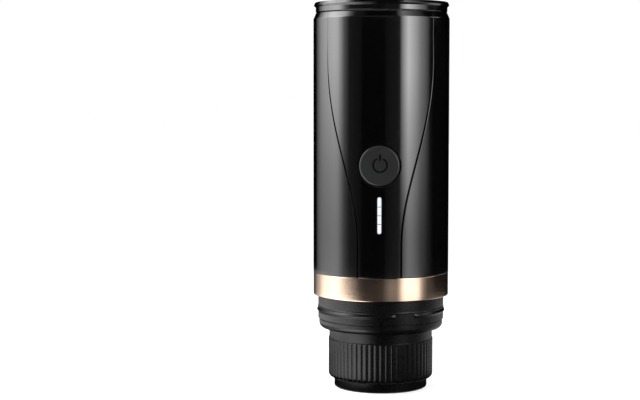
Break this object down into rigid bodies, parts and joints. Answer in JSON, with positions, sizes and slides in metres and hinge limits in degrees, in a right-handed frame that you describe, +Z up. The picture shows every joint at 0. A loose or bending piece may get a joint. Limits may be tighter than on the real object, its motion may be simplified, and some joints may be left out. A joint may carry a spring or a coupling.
{
  "type": "portable espresso maker",
  "caption": "Slim upright hand-held espresso maker: glossy tube housing with a front button, rose-gold trim ring, threaded collar and knurled capsule holder as its foot.",
  "frame": {"origin": "centre of the round face that the espresso maker stands on", "axes": "+Z up along the housing's axis; -Y is the front with the power button; +X is to the right seen from the front"},
  "size_m": [0.07, 0.0706, 0.1985],
  "materials": {
    "gloss_black": "glossy black lacquered plastic",
    "matte_black": "fine sandblasted black plastic",
    "button_black": "satin black plastic",
    "rose_gold": "polished rose-gold anodised metal",
    "steel": "stainless steel",
    "light_white": "clear white light guide",
    "rubber_black": "soft black rubber",
    "silicone": "translucent food-grade silicone",
    "inner_plastic": "dark grey heat-resistant plastic",
    "cell_wrap": "plastic sleeve over a metal can",
    "copper": "enamelled copper winding",
    "brass": "turned brass",
    "aluminium": "machined aluminium",
    "board_green": "solder-masked circuit board",
    "felt": "heat-resistant felt"
  },
  "bodies": {
    "holder": {"capsule_holder": "matte_black", "pyramid_plate": "steel", "outlet_cap": "matte_black"},
    "holder_seal": {"holder_seal": "silicone"},
    "housing": {"body_shell": "gloss_black", "front_panel": "gloss_black", "base_collar": "matte_black", "trim_ring": "rose_gold", "water_tank": "steel", "pump_yoke": "steel", "charge_port": "steel", "needle_plate": "steel", "collar_screws": "steel", "heater_element": "steel", "light_guide": "light_white", "indicator_lamps": "light_white", "pump_mounts": "rubber_black", "chamber_seal": "silicone", "tank_gasket": "silicone", "inlet_hose": "silicone", "pressure_hose": "silicone", "brew_chamber": "inner_plastic", "chamber_head": "inner_plastic", "neck_ring": "inner_plastic", "chassis_lower": "inner_plastic", "chassis_upper": "inner_plastic", "chassis_posts": "inner_plastic", "pump_barrel": "inner_plastic", "tact_switch": "inner_plastic", "battery_cell_1": "cell_wrap", "battery_cell_2": "cell_wrap", "battery_cell_3": "cell_wrap", "pump_coil": "copper", "check_valve": "brass", "tank_fitting": "brass", "heater_plate": "aluminium", "temperature_sensor": "aluminium", "control_board": "board_green", "charge_board": "board_green", "heater_insulator": "felt"},
    "button": {"power_button": "button_black"},
    "port_cover": {"port_cover": "rubber_black"},
    "piston": {"pump_piston": "steel"},
    "lid_seal": {"lid_seal": "silicone"},
    "lid": {"lid": "gloss_black", "lid_plug": "inner_plastic", "vent_valve": "rubber_black"}
  },
  "joints": [
    {"name": "body_lift", "type": "slide", "parent": "holder", "child": "holder_seal", "axis": [0, 0, 1], "range_m": [0, 0.012]},
    {"name": "body_turn", "type": "hinge", "parent": "holder_seal", "child": "housing", "pos_m": [0, 0, 0.0375], "axis": [0, 0, 1], "range_deg": [0, 720]},
    {"name": "lid_rise", "type": "slide", "parent": "housing", "child": "lid_seal", "axis": [0, 0, 1], "range_m": [0, 0.012]},
    {"name": "lid_turn", "type": "hinge", "parent": "lid_seal", "child": "lid", "pos_m": [0, 0, 0.1927], "axis": [0, 0, 1], "range_deg": [0, 540]},
    {"name": "button_press", "type": "slide", "parent": "housing", "child": "button", "axis": [0, 1, 0], "range_m": [0, 0.0008], "stiffness_N_per_m": 1500, "springref_m": -0.0004},
    {"name": "cover_swing", "type": "hinge", "parent": "housing", "child": "port_cover", "pos_m": [0, 0.0341, 0.0738], "axis": [1, 0, 0], "range_deg": [0, 100]},
    {"name": "piston_stroke", "type": "slide", "parent": "housing", "child": "piston", "axis": [0, 0, 1], "range_m": [-0.0015, 0.0015], "stiffness_N_per_m": 2000}
  ],
  "couplings": [
    {"joint": "body_lift", "follows": "body_turn", "m_per_rad": 0.00095492},
    {"joint": "lid_rise", "follows": "lid_turn", "m_per_rad": 0.0012732}
  ]
}
